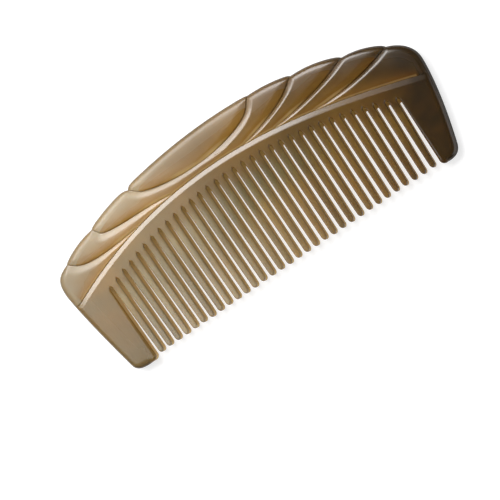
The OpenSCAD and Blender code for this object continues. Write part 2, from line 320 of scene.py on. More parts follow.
# A vein as a line of points that starts a little beyond the rim, with values from 1 there to 0 at its end
def polyline(curve, beyond=5.0, count=160):
    points = bezier(curve, np.linspace(0, 1, count))
    first = points[0] + unit(points[0] - points[1]) * beyond
    return np.vstack([first, points]), np.append(1.0, np.linspace(1, 0, count))


# Distance to a line of points, and the value at the nearest place
def nearest(points, line, values):
    best = np.full(len(points), 1e9)
    value = np.zeros(len(points))
    for a, b, va, vb in zip(line[:-1], line[1:], values[:-1], values[1:]):
        d = b - a
        if not d.any():
            continue
        t = np.clip(((points - a) @ d) / (d @ d), 0, 1)
        gap = np.linalg.norm(points - a - t[:, None] * d, axis=1)
        closer = gap < best
        best[closer] = gap[closer]
        value[closer] = mix(va, vb, t[closer])
    return best, value


# Which points lie within a closed outline
def inside(points, outline):
    result = np.zeros(len(points), bool)
    for a, b in zip(outline, np.roll(outline, -1, axis=0)):
        crosses = (a[1] > points[:, 1]) != (b[1] > points[:, 1])
        with np.errstate(divide="ignore", invalid="ignore"):
            at = (b[0] - a[0]) * (points[:, 1] - a[1]) / (b[1] - a[1]) + a[0]
        result ^= crosses & (points[:, 0] < at)
    return result


# The line of the loop runs down its left vein and up its right one; the shape is closed above the comb
veinLines = {i: polyline(curve) for i, curve in veinCurves.items()}
loopLeft, loopRight = (veinLines[i] for i in loop["veins"])
loopLine = np.vstack([loopLeft[0][:-1], loopRight[0][-2::-1]])
loopValues = np.concatenate([loopLeft[1][:-1], loopRight[1][-2::-1]])
loopShape = np.vstack([loopLine, loopLine[-1] + [0, 20], loopLine[0] + [0, 20]])
for i in loop["veins"]:
    veinLines[i] = (loopLine, loopValues)
ribTimes = np.linspace(-0.004, 1.004, 200)
ribLine = bezier(ribCurve, ribTimes)


# Depth of the carving, at distance d from a crease
def overWall(d, depth, width):
    steep, share = carving["steepWidth"], carving["steepShare"]
    wall = share * np.clip(1 - d / steep, 0, 1)
    roll = (1 - share) * np.clip(1 - d / width, 0, 1) ** 1.5
    return depth * (wall + roll)


def underWall(d, depth, width, hollow):
    x = np.clip(d / width, 0, 1)
    return depth * mix(1 - x, (1 - x) ** 2, hollow)


# Fades in over the quarter of a vein next to the rib
def fromRib(v):
    return np.clip(v * 4, 0, 1)


def gentleWidth(vein, v):
    wide, narrow = vein["gentle"]
    return mix(narrow, wide, v ** vein["narrowing"]) * mix(carving["gentleAtRib"], 1.0, fromRib(v))


def rollWidth(v):
    return carving["rollWidth"] * mix(carving["rollAtRib"], 1.0, v)


# The middle leaf ends at the loop; below it the grid's points belong to the leaves beside it
def ownersOf(points, owner):
    below = (owner == middleLeaf) & ~inside(points, loopShape)
    beside = np.where(points[:, 0] < fit(loop["lowest"])[0], middleLeaf - 1, middleLeaf + 1)
    return np.where(below, beside, owner)


def veinSink(points, i, kind):
    if kind == "rim":
        return np.zeros(len(points))
    line, values = veinLines[i]
    d, v = nearest(points, line, values)
    depth = mix(carving["endDepth"], carving["notchDepth"], v ** 0.9)
    if kind == "over":
        return overWall(d, depth, rollWidth(v))
    hollow = carving["hollow"][i > middleLeaf]
    if i in loop["veins"]:
        blend = loop["hollowBlend"]
        hollow = np.interp(points[:, 0] - fit(loop["lowest"])[0], (-blend, blend), carving["hollow"])
    return underWall(d, depth, gentleWidth(veins[i - 1], v), hollow)


def ribWidth(t):
    return mix(*carving["ribWidth"], np.clip(t, 0, 1) ** 2)


# Depth of the carving on leaf i
def leafSink(points, i):
    d, t = nearest(points, ribLine, ribTimes)
    t = np.clip(t, 0, 1)
    depth = mix(*carving["ribDepth"], t)
    if i == belowRib:
        return depth * np.clip(1 - d / ribWidth(t), 0, 1)
    rib = overWall(d, depth, mix(*carving["ribRoll"], t))
    return np.maximum.reduce([rib] + [veinSink(points, line, kind) for line, kind in sidesOf(i)])


# Painted shade beside the creases of a leaf and above the rib, in the amber that light through the horn gives
creaseShading = {
    "rib": (0.9, 3.4),       # strength and width above the rib
    "width": (4.0, 5.2),     # beside a vein, at the rib and at the rim
    "strength": (1.0, 0.7),
    "atRib": 0.9,            # share of the strength right at the rib
    "middleLeaf": 1.35,      # how much wider it is on the middle leaf
}


def paintedCreaseAmber(points, i):
    d, _ = nearest(points, ribLine, ribTimes)
    strength, width = creaseShading["rib"]
    amber = strength * np.exp(-(d / width) ** 2)
    for line, kind in sidesOf(i):
        if kind == "over":
            d, v = nearest(points, *veinLines[line])
            width = mix(*creaseShading["width"], v) * (creaseShading["middleLeaf"] if i == middleLeaf else 1.0)
            strength = mix(*creaseShading["strength"], v) * mix(creaseShading["atRib"], 1.0, fromRib(v))
            amber = np.maximum(amber, strength * np.exp(-(d / width) ** 2))
    return amber


# Distances from a vein at which a leaf has columns
steepRises = [0.34, 0.67]    # in widths of the steep wall
pastWall = 1.08              # last column, in widths of the gentle wall


def spread(kind, v, vein):
    if kind == "over":
        steep = carving["steepWidth"]
        return np.concatenate([[0], [r * steep for r in steepRises], np.linspace(steep, rollWidth(v), 8)])
    if kind == "under":
        wide = gentleWidth(vein, v)
        return np.append(np.linspace(0, wide, 9), wide * pastWall)
    return np.array([0.0])


# Places of the columns of leaf i at height v, as shares of the way across
def leafShares(i, v):
    across = veinPoint(i + 1, v) - veinPoint(i, v)
    plain = leaves[i][2]
    widest = 0.4
    sides = []
    for line, kind in sidesOf(i):
        near = min(max(line, 1), lastLeaf)
        along = sideHeading(near, v)
        width = max(abs(across[0] * along[1] - across[1] * along[0]), 0.01)
        side = spread(kind, v, veins[near - 1]) / width
        sides.append(side * min(1, widest / max(side[-1], 1e-6)))
    left, right = sides
    middle = np.linspace(left[-1], 1 - right[-1], plain + 2)[1:-1]
    tail = 1 - right[:0:-1] if len(right) > 1 else np.array([])
    return np.concatenate([left, middle, tail])


# Rim of the comb, as stations: place, inward normal, slant on the carved face, widths and depths of the
# rounding on the front and back, how straight it is, and the leaf it belongs to
def station(place, normal=None, slant=None, front=None, back=None, straight=0.0, leaf=None, ramp=0.0):
    place = np.asarray(place, float)
    r = rounding(place[1])
    return {"place": place, "normal": normal, "slant": slant, "front": front or (rimReach * r, r),
            "back": back or (r, r), "straight": straight, "leaf": leaf, "ramp": ramp,
            "support": toothSupport if front else bladeSupport, "gap": bool(front)}


rootRadius = teeth["gapRoot"] / 2
gapPitch = (teeth["lastRoot"] - teeth["firstRoot"]) / teeth["count"] * stretch[0]
firstGap = teeth["firstRoot"] * stretch[0]
lastGap = teeth["lastRoot"] * stretch[0]
tipPitch = gapPitch * teeth["tipSpacing"]
rootHalf = (gapPitch - teeth["gapRoot"]) / 2
tipHalf = (tipPitch - teeth["gapTip"]) / 2


def rootY(x):
    along = np.asarray(x, float) / stretch[0] - teeth["crown"][0]
    r = teeth["archRadius"]
    return (teeth["crown"][1] - r + np.sqrt(r * r - along * along)) * stretch[1]


# Half of the root of a gap, from its middle to its corner; side is where the horn is
def rootStations(x, top, side):
    r = rootRadius
    apex = np.array([0, teeth["filedPoint"]])
    corner = np.array([r + teeth["edge"][0], -r])
    cut = unit([apex[1] - corner[1], corner[0]])
    turn = np.array([side, 1])
    rows = []
    for angle in np.linspace(90, 0, teeth["rootSteps"]):
        n = np.array([math.cos(math.radians(angle)), math.sin(math.radians(angle))])
        p = np.array([r * n[0], r * (n[1] - 1)])
        share = angle / 90
        width = ((apex - p) @ cut) / (n @ cut)
        depth = mix(teeth["edge"][1], teeth["filedDepth"], share)
        back = (mix(teeth["backEdge"][0], teeth["filedBack"], share), teeth["backEdge"][1])
        rows.append(station(np.array([x, top]) + p * turn, n * turn, front=(width, depth), back=back,
                            straight=share, ramp=teeth["rootRamp"]))
    return rows


# The slope of a root fades out down the sides of the gap
def sideRamp(s):
    return teeth["rootRamp"] * (1 - s) ** 4


# Inner edge of a guard tooth, from the corner of the gap down to the flat of its foot
def guardInner(x, top, side, edgeX):
    start = np.array([x + side * rootRadius, top - rootRadius])
    corner = blade["guardCorner"]
    end = np.array([edgeX, -height / 2 + corner])
    rows = []
    steps = 13
    for s in np.arange(1, steps) / steps:
        front = mixEdge(teeth["edge"], blade["guardEdge"], s)
        back = mixEdge(teeth["backEdge"], blade["guardBackEdge"], s)
        rows.append(station(mix(start, end, s), front=front, back=back, ramp=sideRamp(s)))
    for angle in range(90, -1, -15):
        a = math.radians(angle)
        place = (edgeX + side * corner * (1 - math.sin(a)), -height / 2 + corner * (1 - math.cos(a)))
        rows.append(station(place, front=blade["guardEdge"], back=blade["guardBackEdge"]))
    return rows


def guardFoot(curve, side):
    times = np.linspace(0, 1, 15)[:-1 if side > 0 else None]
    return [station(p) for p in bezier(fit(curve), times)]


leftInner = (firstGap + gapPitch / 2) * teeth["tipSpacing"] - tipHalf - teeth["gapTip"]
rightInner = (lastGap - gapPitch / 2) * teeth["tipSpacing"] + tipHalf + teeth["gapTip"]

# Rows of the carved grid: from the foot of the rib up its gentle wall, over its steep wall, and up the leaves
ribRises = [-1.12, -1.0, -0.8, -0.6, -0.4, -0.2, 0.0]       # in widths of the rib
leafV = np.linspace(0, 1, carving["leafRows"] + 1)[:-1] ** 1.15
gridRows = [("rib", r) for r in ribRises] + [("steep", r) for r in steepRises] + [("leaf", v) for v in leafV]
ribCrease = len(ribRises) - 1


def ribRise(row, t):
    kind, value = row
    if kind == "rib":
        return value * ribWidth(t)
    return value * carving["steepWidth"]


def sideRowY(side, row):
    if row[0] == "leaf":
        return float(sideY(side, row[1]))
    return float(ribEndY(side, ribRise(row, ribEndPlace(side))))


# From the foot of a side up to the rib in even steps, and then one station for each row of the grid
sideSteps = 24


def sideStations(side):
    leaf = 0 if side is blade["leftSide"] else lastLeaf
    inward = np.array([-math.copysign(1, side[0][0]), 0.0])
    foot, top = fit(side[1])[1], sideRowY(side, gridRows[0])
    rows = [station(sidePoint(side, mix(foot, top, k / sideSteps))) for k in range(sideSteps)]
    for index, row in enumerate(gridRows):
        part = belowRib if index <= ribCrease else leaf
        rows.append(station(sidePoint(side, sideRowY(side, row)), slant=inward, leaf=part))
    return rows


def topPlace(i, s):
    if i == 0:
        return bezier(fit(blade["leftShoulder"]), s)
    if i == lastLeaf:
        return bezier(fit(blade["rightShoulder"]), s)
    a, b = notch(i), notch(i + 1)
    wide = np.linalg.norm(b - a)
    out = np.array([a[1] - b[1], b[0] - a[0]]) / wide
    rise = 4 * veins[i - 1]["rise"] * s * (1 - s)
    for up, kind, near in zip(leafSteps["heights"][i], leaves[i], (s, 1 - s)):
        rise += up * (1 - math.exp(-near * wide / leafSteps["width"][kind])) * (1 - near) ** 3
    return mix(a, b, s) + out * rise * stretch[1]


def topStations():
    rows = []
    for i in range(leafCount):
        start = np.array([1.0, 0.0]) if i == 0 else veinHeading(i)
        end = np.array([-1.0, 0.0]) if i == lastLeaf else veinHeading(i + 1)
        for s in leafShares(i, 1.0):
            p = topPlace(i, s)
            radial = unit(archCentre - p)
            if i in (0, lastLeaf):
                curve = fit(blade["leftShoulder" if i == 0 else "rightShoulder"])
                h = heading(curve, s)
                square = np.array([h[1], -h[0]])
                near = s if i == 0 else 1 - s
                radial = unit(mix(square, radial, near ** 3))
            rows.append(station(p, radial, unit(mix(start, end, s)), leaf=i))
    foot = fit(blade["rightShoulder"][3])
    rows.append(station(foot, slant=np.array([-1.0, 0.0]), leaf=lastLeaf))
    return rows


# Fills in the normals and slants that the stations of a rim don't bring along
def finishRim(rows):
    places = np.array([s["place"] for s in rows])
    for k, s in enumerate(rows):
        if s["normal"] is None:
            d = unit(places[min(k + 1, len(rows) - 1)] - places[max(k - 1, 0)])
            s["normal"] = np.array([-d[1], d[0]])
        if s["slant"] is None:
            s["slant"] = s["normal"]
    return places


rightTop = float(rootY(lastGap))
leftTop = float(rootY(firstGap))
rimParts = {
    "rightRoot": rootStations(lastGap, rightTop, 1),
    "rightInner": guardInner(lastGap, rightTop, 1, rightInner),
    "rightFoot": guardFoot(blade["rightGuardTip"], 1),
    "rightSide": sideStations(blade["rightSide"]),
    "top": topStations()[::-1],
    "leftSide": sideStations(blade["leftSide"])[::-1],
    "leftFoot": guardFoot(blade["leftGuardTip"], -1)[1:],
    "leftInner": guardInner(firstGap, leftTop, -1, leftInner)[::-1],
    "leftRoot": rootStations(firstGap, leftTop, -1)[::-1],
}
rim = [s for part in rimParts.values() for s in part]
partStart = dict(zip(rimParts, np.cumsum([0] + [len(part) for part in rimParts.values()])))
rimPlaces = finishRim(rim)
print("rim stations", len(rim))

outer = rimPlaces[partStart["rightFoot"]:partStart["leftInner"]]


def domeDrop(points):
    d, _ = nearest(points, outer, np.zeros(len(outer)))
    return blade["domeDepth"] * np.clip(1 - d / blade["domeWidth"], 0, 1) ** 2


# Angles of the rings of a rounding, from 0 on a face to 90 on the wall
frontAngles = [90, 76, 62, 48, 35, 23, 11, 0]
backAngles = [0, 22, 45, 68, 90]


def ringPoint(s, angle, front):
    width, depth = s["front" if front else "back"]
    direction = s["slant"] if front else s["normal"]
    if angle is None:
        share, drop = 1 + s["support"] / width, 0.0
    else:
        a = math.radians(angle)
        share = 1 - math.sin(a)
        drop = depth * mix(1 - math.cos(a), math.sin(a), s["straight"])
    lower = np.array([0.0, 0.0 if front else s["ramp"]])
    return s["place"] - lower + direction / (direction @ s["normal"]) * width * share, drop


# Vertices and faces of a mesh in the making. The tint of a vertex says how much painted amber (light through
# the horn at gap edges, shade beside creases), painted sheen in a milky tone and painted shade on the rim
# shows there
class Skin:
    def __init__(self):
        self.points = []
        self.faces = []
        self.tint = []

    def add(self, points, tint):
        start = len(self.points)
        self.points.extend(np.asarray(points, float).tolist())
        self.tint.extend(np.broadcast_to(np.asarray(tint, float), (len(points), 3)).tolist())
        return np.arange(start, start + len(points))

    def strip(self, a, b):
        for k in range(len(a) - 1):
            self.quad(a[k], a[k + 1], b[k + 1], b[k])

    def quad(self, *corners):
        ring = [c for k, c in enumerate(corners) if c != corners[k - 1]]
        if len(ring) > 2:
            self.faces.append([int(c) for c in ring])

    def toObject(self, name):
        mesh = bpy.data.meshes.new(name)
        mesh.from_pydata(self.points, [], self.faces)
        tint = mesh.attributes.new("hornTint", "FLOAT_VECTOR", "POINT")
        tint.data.foreach_set("vector", np.ravel(self.tint))
        mesh.validate()
        obj = bpy.data.objects.new(name, mesh)
        bpy.context.scene.collection.objects.link(obj)
        return obj


# Fills a flat region inside a ring of vertices, with inner points a step apart
def fillFlat(skin, ring, step, clear, heightOf, tintOf=None):
    border = np.array([skin.points[k][:2] for k in ring]) / mm
    low, high = border.min(0), border.max(0)
    rowStep = step * 0.866           # even triangles
    rows = np.arange(low[1], high[1], rowStep)
    columns = np.arange(low[0], high[0], step)
    grid = np.array([(x + (k % 2) * step / 2, y) for k, y in enumerate(rows) for x in columns])
    grid = grid[inside(grid, border)]
    gap, _ = nearest(grid, np.vstack([border, border[:1]]), np.zeros(len(border) + 1))
    grid = grid[gap > clear]
    inner = skin.add(np.column_stack([grid, heightOf(grid)]) * mm, tintOf(grid) if tintOf else 0.0)
    names = list(ring) + list(inner)
    spots = [Vector(p) for p in np.vstack([border, grid])]
    count = len(border)
    edges = [(k, (k + 1) % count) for k in range(count)]
    _, _, faces, origins, _, _ = delaunay_2d_cdt(spots, edges, [], 1, 1e-7)
    where = [names[o[0]] for o in origins]
    for face in faces:
        skin.quad(*[where[k] for k in face])


# A painted sheen, in a milky tone, lies along the rim of the comb and along the gentle walls of the veins
sheenLayer = {
    "from": 2.5,             # it is full up to this distance from the outline
    "width": [(-60, 6.5), (-25, 3.4), (30, 4.0), (80, 5.5)],     # and then fades, at places along the comb
    "belowRib": 0.35,        # its share there
    "vein": [(-60, 0.8), (0, 0.6), (30, 0.35), (80, 0.25)],      # its share along the veins
    "veinReach": 1.15,       # in widths of the gentle wall
}


def milkAndSheen(points, i):
    d, _ = nearest(points, outer, np.zeros(len(outer)))
    wide = np.interp(points[:, 0], *zip(*sheenLayer["width"]))
    layer = np.exp(-(np.clip(d - sheenLayer["from"], 0, None) / wide) ** 2)
    if i == belowRib:
        return layer * sheenLayer["belowRib"]
    for line, kind in sidesOf(i):
        if kind == "under":
            d, v = nearest(points, *veinLines[line])
            wide = gentleWidth(veins[line - 1], v)
            share = np.interp(points[:, 0], *zip(*sheenLayer["vein"]))
            share = share * (1.0 if line in loop["veins"] else fromRib(v))
            layer = np.maximum(layer, share * np.clip(sheenLayer["veinReach"] - d / wide, 0, 1) ** 0.5)
    return layer


# How steep a rounding is at an angle, from 0 on a face to 1 on the wall
def steepness(angle):
    return 0.0 if angle is None else angle / 90


# Painted amber light on the edge of a gap, standing in for light through the horn; the points filed above the
# gaps are as pale as the sawn walls
def edgeGlow(rows, angle):
    return steepness(angle) ** (1.6 - 1.45 * np.array([s["straight"] for s in rows]))


# Tint round the rim of a piece: gap edges get painted amber light, the outer rim of the comb a painted sheen
# above and painted shade below, with a little amber
def rimTint(rows, angle, front):
    steep = steepness(angle)
    gap = np.array([s["gap"] for s in rows])
    low = np.array([s["leaf"] in (None, belowRib) for s in rows])
    amber = np.where(gap, edgeGlow(rows, angle), 0.2 * steep)
    shade = np.where(gap, 0.0, steep if front else 0.4 + 0.6 * steep)
    paintedSheen = np.where(gap, 0.0, 1 - steep) if front else np.zeros(len(rows))
    return np.column_stack([amber, paintedSheen * np.where(low, sheenLayer["belowRib"], 1.0), shade])


toothTop = float(rootY(0.0))


# Thickness where a tooth in its own frame ends up, near the crown of the arch
def toothThickness(y):
    return thickness(y + toothTop)


# The edges of the teeth are drawn at the crown; at the two end gaps the edges of the blade follow them
def rootScale(rows, flat):
    share = np.array([s["ramp"] for s in rows]) / teeth["rootRamp"]
    top = np.where(flat[:, 0] < 0, leftTop, rightTop)
    return mix(1.0, thickness(flat[:, 1]) / toothThickness(flat[:, 1] - top), share)


# The blade: bands round the rim, the carved grid, and the flat parts of the front and back
skin = Skin()
rimCount = len(rim)
rings = []
for angle in [None] + backAngles:
    found = [ringPoint(s, angle, False) for s in rim]
    flat = np.array([f[0] for f in found])
    z = np.array([f[1] for f in found]) * rootScale(rim, flat)
    rings.append(skin.add(np.column_stack([flat, z]) * mm, rimTint(rim, angle, False)))
backRing = rings[0]

noLeaf = 99
leafOf = np.array([noLeaf if s["leaf"] is None else s["leaf"] for s in rim])
for angle in frontAngles + [None]:
    found = [ringPoint(s, angle, True) for s in rim]
    flat = np.array([f[0] for f in found])
    drop = np.array([f[1] for f in found]) * rootScale(rim, flat)
    sink = np.zeros(rimCount)
    for i in range(belowRib, leafCount):
        here = leafOf == i
        if here.any():
            sink[here] = leafSink(flat[here], i)
    z = thickness(flat[:, 1]) - domeDrop(flat) - np.maximum(drop, sink)
    rings.append(skin.add(np.column_stack([flat, z]) * mm, rimTint(rim, angle, True)))
frontRing = rings[-1]
for below, above in zip(rings[:-1], rings[1:]):
    skin.strip(below, above)
print("rim bands done")

# Where the rim meets the columns and rows of the carved grid
lowShares = [leafShares(i, 0.0) for i in range(leafCount)]
highShares = [leafShares(i, 1.0) for i in range(leafCount)]
firstColumn = np.cumsum([0] + [len(shares) for shares in highShares])
topIndex = partStart["leftSide"] - 1 - np.arange(firstColumn[-1] + 1)
leftIndex = partStart["leftFoot"] - 1 - sideSteps - np.arange(len(gridRows))
rightIndex = partStart["rightSide"] + sideSteps + np.arange(len(gridRows))


# Straight across leaf i at height v, for shares of the way
def straightLine(i, v, shares):
    return mix(veinPoint(i, v), veinPoint(i + 1, v), shares[:, None])


# The same, eased onto the rib below, at places t, and onto the rim above
def leafLine(i, v, t):
    ends = frontRing[topIndex[firstColumn[i]:firstColumn[i + 1]]]
    caps = np.array([skin.points[k][:2] for k in ends]) / mm
    atRib = ribPoint(t, np.full(len(t), carving["steepWidth"])) - straightLine(i, 0.0, lowShares[i])
    atTop = caps - straightLine(i, 1.0, highShares[i])
    return straightLine(i, v, leafShares(i, v)) + atRib * (1 - v) ** 2 + atTop * v * v


# Points of one row of the grid between the sides, with the leaf of each
def gridLine(row):
    kind, value = row
    points, owner = [], []
    for i in range(leafCount):
        t = mix(ribPlace(i), ribPlace(i + 1), lowShares[i])
        line = leafLine(i, value, t) if kind == "leaf" else ribPoint(t, ribRise(row, t))
        points.append(line)
        owner += [i] * len(line)
    points, owner = np.vstack(points)[1:], np.array(owner)[1:]
    return points, ownersOf(points, owner)


gridIndex = []
for r, row in enumerate(gridRows):
    points, owner = gridLine(row)
    sink = leafSink(points, belowRib)
    # painted amber shade beside the creases, and a painted sheen along the rim and the gentle walls
    amber = np.zeros(len(points))
    paintedSheen = milkAndSheen(points, belowRib)
    for i in range(leafCount if r > ribCrease else 0):
        here = owner == i
        sink[here] = leafSink(points[here], i)
        amber[here] = paintedCreaseAmber(points[here], i)
        paintedSheen[here] = milkAndSheen(points[here], i)
    z = thickness(points[:, 1]) - domeDrop(points) - sink
    tint = np.column_stack([amber, paintedSheen * (1 - amber), np.zeros(len(points))])
    middle = skin.add(np.column_stack([points, z]) * mm, tint)
    gridIndex.append(np.concatenate([[frontRing[leftIndex[r]]], middle, [frontRing[rightIndex[r]]]]))
gridIndex.append(frontRing[topIndex])
for below, above in zip(gridIndex[:-1], gridIndex[1:]):
    skin.strip(below, above)
print("carved grid", len(gridIndex), "by", firstColumn[-1])

# The line where the teeth join the blade
lineX = firstGap + np.arange(teeth["count"] * teeth["lineSteps"] + 1) * gapPitch / teeth["lineSteps"]
lineY = rootY(lineX) + teeth["lineAbove"]
frontLine = skin.add(np.column_stack([lineX, lineY, thickness(lineY)]) * mm, 0.0)
backLine = skin.add(np.column_stack([lineX, lineY, np.zeros(len(lineX))]) * mm, 0.0)

lowerRim = list(frontRing[rightIndex[0]::-1])        # right side, down and round to the last gap
leftRim = list(frontRing[:leftIndex[0] - 1:-1])      # first gap, round and up the left side
frontLoop = list(gridIndex[0]) + lowerRim[1:] + list(frontLine[::-1]) + leftRim[:-1]
fillFlat(skin, frontLoop, *blade["frontFill"], lambda p: thickness(p[:, 1]) - domeDrop(p),
         lambda p: np.column_stack([np.zeros(len(p)), milkAndSheen(p, belowRib), np.zeros(len(p))]))
backLoop = list(backRing) + list(backLine)
fillFlat(skin, backLoop, *blade["backFill"], lambda p: np.zeros(len(p)))
bladeObject = skin.toObject("comb_blade")
print("blade", len(bladeObject.data.vertices), "vertices")


# One tooth, standing in its own frame: y is 0 at the root and falls to the tip, z is a share of the thickness
def toothRim():
    left = rootStations(-gapPitch / 2, 0.0, 1)
    tipTop = -teeth["nominalLength"] + teeth["tipRounding"]
    start, end = np.array([-rootHalf, -rootRadius]), np.array([-tipHalf, tipTop])
    for s in np.linspace(0, 1, 15)[1:]:
        place = mix(start, end, s)
        left.append(station(place, front=teeth["edge"], back=teeth["backEdge"], ramp=sideRamp(s)))
    for a in np.radians([15, 30, 45, 60, 75, 90]):
        soft = math.sin(a)
        place = (-tipHalf * math.cos(a), tipTop - teeth["tipRounding"] * soft)
        front = mixEdge(teeth["edge"], teeth["tipEdge"], soft)
        back = mixEdge(teeth["backEdge"], teeth["tipBackEdge"], soft)
        left.append(station(place, front=front, back=back))
    right = []
    for s in left[-2::-1]:
        other = dict(s)
        other["place"] = s["place"] * [-1, 1]
        if s["normal"] is not None:
            other["normal"] = s["normal"] * [-1, 1]
        right.append(other)
    rows = left + right
    finishRim(rows)
    return rows


def crownDrop(points):
    fadeFrom, fadeOver = 1.5, 3
    fade = np.clip((-points[:, 1] - fadeFrom) / fadeOver, 0, 1)
    return teeth["crownDrop"] * (points[:, 0] / rootHalf) ** 2 * fade


# The right-hand edge of a tooth gets a painted highlight, so it is paler than its left-hand one
def toothTint(rows, angle, front):
    amber = edgeGlow(rows, angle)
    right = np.array([min(1.0, max(0.0, -2 * s["normal"][0])) for s in rows])
    paintedSheen = right * teeth["edgeHighlight"] * (math.sin(math.pi * steepness(angle)) if front else 0.0)
    return np.column_stack([amber * (1 - paintedSheen), paintedSheen, np.zeros(len(rows))])


def makeTooth():
    tooth = Skin()
    rows = toothRim()
    rings = []
    for front, angles in ((False, [None] + backAngles), (True, frontAngles + [None])):
        for angle in angles:
            found = [ringPoint(s, angle, front) for s in rows]
            flat = np.array([f[0] for f in found])
            share = np.array([f[1] for f in found]) / toothThickness(flat[:, 1])
            if front:
                share = 1 - share - crownDrop(flat) / toothThickness(flat[:, 1])
            rings.append(tooth.add(np.column_stack([flat * mm, share]), toothTint(rows, angle, front)))
    for below, above in zip(rings[:-1], rings[1:]):
        tooth.strip(below, above)
    lineX = (np.arange(teeth["lineSteps"] + 1) / teeth["lineSteps"] - 0.5) * gapPitch
    for ring, level in ((rings[0], 0.0), (rings[-1], 1.0)):
        flat = np.column_stack([lineX, np.full(len(lineX), teeth["lineAbove"])])
        line = tooth.add(np.column_stack([flat * mm, np.full(len(lineX), level)]), 0.0)

        def levelOf(p):
            return (level - level * crownDrop(p) / toothThickness(p[:, 1])) / mm
        fillFlat(tooth, list(ring) + list(line[::-1]), *teeth["fill"], levelOf)
    return tooth.toObject("comb_tooth")


toothObject = makeTooth()
print("tooth", len(toothObject.data.vertices), "vertices")


# Short ways to add nodes to a node tree
class Tree:
    def __init__(self, tree):
        self.tree = tree

    def add(self, kind, **settings):
        node = self.tree.nodes.new(kind)
        for name, value in settings.items():
            setattr(node, name, value)
        return node

    def link(self, source, target):
        self.tree.links.new(source, target)

    def feed(self, socket, value):
        if isinstance(value, bpy.types.NodeSocket):
            self.link(value, socket)
        else:
            socket.default_value = value

    def math(self, operation, *values, clamp=False):
        node = self.add("ShaderNodeMath", operation=operation, use_clamp=clamp)
        for socket, value in zip(node.inputs, values):
            self.feed(socket, value)
        return node.outputs[0]

    def mix(self, a, b, t):
        return self.math("ADD", a, self.math("MULTIPLY", self.math("SUBTRACT", b, a), t))


# The row of teeth: copies of the tooth on a line, bent so that their roots follow the arch of the blade and
# their tips a shallow curve, then joined to the blade
rowInputs = {
    "Tooth": ("NodeSocketObject", toothObject),
    "Count": ("NodeSocketInt", teeth["count"]),
    "Seed": ("NodeSocketInt", teeth["seed"]),
    "First Tooth": ("NodeSocketFloat", (firstGap + gapPitch / 2) * mm),
    "Pitch": ("NodeSocketFloat", gapPitch * mm),
    "Crown X": ("NodeSocketFloat", teeth["crown"][0] * stretch[0] * mm),
    "Crown Y": ("NodeSocketFloat", teeth["crown"][1] * stretch[1] * mm),
    "Arch Radius": ("NodeSocketFloat", teeth["archRadius"] * mm),
    "Length Stretch": ("NodeSocketFloat", float(stretch[0])),
    "Height Stretch": ("NodeSocketFloat", float(stretch[1])),
    "Tip Spacing": ("NodeSocketFloat", teeth["tipSpacing"]),
    "Tip Level": ("NodeSocketFloat", (teeth["tipSetback"] + teeth["tipHollow"] - height / 2) * mm),
    "Tip Hollow": ("NodeSocketFloat", teeth["tipHollow"] * mm),
    "Half Length": ("NodeSocketFloat", length / 2 * mm),
    "Tooth Length": ("NodeSocketFloat", teeth["nominalLength"] * mm),
    "Root Zone": ("NodeSocketFloat", teeth["rootZone"] * mm),
    "Bend Zone": ("NodeSocketFloat", (teeth["nominalLength"] - teeth["rootZone"] - teeth["tipZone"]) * mm),
    "Drift Sideways": ("NodeSocketFloat", teeth["drift"][0] * mm),
    "Drift Lengthways": ("NodeSocketFloat", teeth["drift"][1] * mm),
    "Middle Thickness": ("NodeSocketFloat", float(thickness(0.0)) * mm),
    "Taper": ("NodeSocketFloat", (blade["spineThickness"] - blade["tipThickness"]) / height),
}


